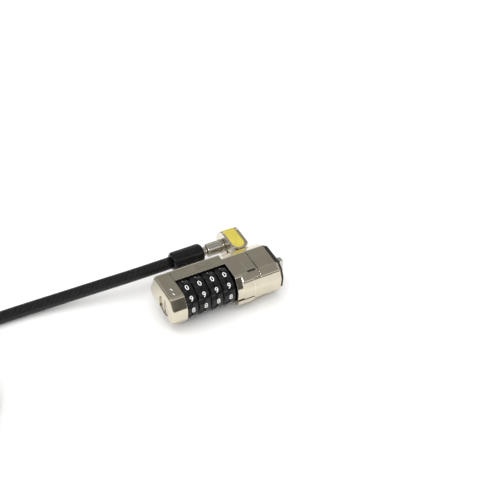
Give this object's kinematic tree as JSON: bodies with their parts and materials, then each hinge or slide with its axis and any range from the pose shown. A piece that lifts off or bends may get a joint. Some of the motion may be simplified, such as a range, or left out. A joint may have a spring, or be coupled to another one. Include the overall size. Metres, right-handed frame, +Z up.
{
  "type": "laptop cable lock",
  "caption": "Combination laptop lock: a dial head with a T-bar anchor for a security slot, and a swivel link on a coiled steel cable.",
  "frame": {"origin": "bottom centre of the lock without its cable, on the surface it lies on", "axes": "+X along the head towards the T-bar and the laptop; +Z up; the dials face -Y and the swivel link and cable are on the +Y side"},
  "size_m": [0.2054, 0.0728, 0.0224],
  "materials": {
    "casing": "pearl nickel plating, warm satin gloss",
    "lower_cover": "pearl nickel plating, warm satin gloss",
    "seal": "soft matte rubber pad",
    "steel": "turned and hardened steel, lightly oiled",
    "dial": "moulded black plastic with printed white digits",
    "code_ring": "machined brass",
    "spring": "spring steel",
    "disc": "satin nickel plated",
    "link": "satin nickel plated casting",
    "inlay": "pale yellow moulded inlay",
    "ferrule": "turned, satin",
    "sleeve": "glossy black moulded sleeve",
    "cable": "smoke-black vinyl over twisted steel wire",
    "tie": "woven hook-and-loop strap",
    "crimp": "pressed aluminium sleeve"
  },
  "bodies": {
    "cable": {"ferrule": "ferrule", "retaining_ring": "spring", "cable_sleeve": "sleeve", "cable": "cable", "cable_coil": "cable", "coil_tie": "tie", "end_crimp": "crimp", "end_loop": "cable"},
    "link": {"swivel_link": "link", "link_inlay": "inlay", "link_pin": "steel", "barrel_cap": "link"},
    "head": {"end_cap": "casing", "main_casing": "casing", "bottom_cover": "lower_cover", "front_collar": "casing", "front_seal": "seal", "detent_balls": "steel", "detent_springs": "spring", "cover_screws": "steel"},
    "dial_1": {"dial_1": "dial", "code_ring_1": "code_ring"},
    "dial_2": {"dial_2": "dial", "code_ring_2": "code_ring"},
    "dial_3": {"dial_3": "dial", "code_ring_3": "code_ring"},
    "dial_4": {"dial_4": "dial", "code_ring_4": "code_ring"},
    "reset": {"reset_disc": "disc"},
    "spindle": {"spindle": "steel", "spindle_spring": "spring"},
    "latch_carrier": {"jaw_carrier": "steel"},
    "jaw_near": {"jaw_near": "steel"},
    "jaw_far": {"jaw_far": "steel"},
    "anchor": {"anchor_post": "steel", "anchor_flange": "steel", "slot_pegs": "steel"},
    "tee_bar": {"tee_bar": "steel"}
  },
  "joints": [
    {"name": "ferrule_spin", "type": "hinge", "parent": "cable", "child": "link", "pos_m": [0.0119, 0.0135, 0.0087], "axis": [-1, 0, 0], "continuous": true},
    {"name": "link_pivot", "type": "hinge", "parent": "link", "child": "head", "pos_m": [0.0152, 0.0069, 0.0078], "axis": [0, 0, 1], "range_deg": [-6, 85]},
    {"name": "dial_1_turn", "type": "hinge", "parent": "head", "child": "dial_1", "pos_m": [-0.01705, -0.0096, 0.0089], "axis": [1, 0, 0], "continuous": true},
    {"name": "dial_2_turn", "type": "hinge", "parent": "head", "child": "dial_2", "pos_m": [-0.01165, -0.0096, 0.0089], "axis": [1, 0, 0], "continuous": true},
    {"name": "dial_3_turn", "type": "hinge", "parent": "head", "child": "dial_3", "pos_m": [-0.00625, -0.0096, 0.0089], "axis": [1, 0, 0], "continuous": true},
    {"name": "dial_4_turn", "type": "hinge", "parent": "head", "child": "dial_4", "pos_m": [-0.00085, -0.0096, 0.0089], "axis": [1, 0, 0], "continuous": true},
    {"name": "reset_turn", "type": "hinge", "parent": "head", "child": "reset", "pos_m": [-0.0256, -0.0096, 0.0089], "axis": [1, 0, 0], "range_deg": [0, 90]},
    {"name": "anchor_turn", "type": "hinge", "parent": "head", "child": "latch_carrier", "pos_m": [0.017, -0.0096, 0.0089], "axis": [1, 0, 0], "continuous": true},
    {"name": "anchor_pull", "type": "slide", "parent": "latch_carrier", "child": "anchor", "axis": [1, 0, 0], "range_m": [0, 0.012]},
    {"name": "jaw_near_slide", "type": "slide", "parent": "latch_carrier", "child": "jaw_near", "axis": [0, 1, 0], "range_m": [0, 0.0012]},
    {"name": "jaw_far_slide", "type": "slide", "parent": "latch_carrier", "child": "jaw_far", "axis": [0, -1, 0], "range_m": [0, 0.0012]},
    {"name": "spindle_slide", "type": "slide", "parent": "head", "child": "spindle", "axis": [1, 0, 0], "range_m": [0, 0.004]},
    {"name": "tee_bar_turn", "type": "hinge", "parent": "anchor", "child": "tee_bar", "pos_m": [0.0189, -0.0096, 0.0089], "axis": [1, 0, 0], "range_deg": [0, 90]}
  ],
  "couplings": [
    {"joint": "jaw_near_slide", "follows": "spindle_slide", "ratio": 0.3},
    {"joint": "jaw_far_slide", "follows": "spindle_slide", "ratio": 0.3}
  ]
}
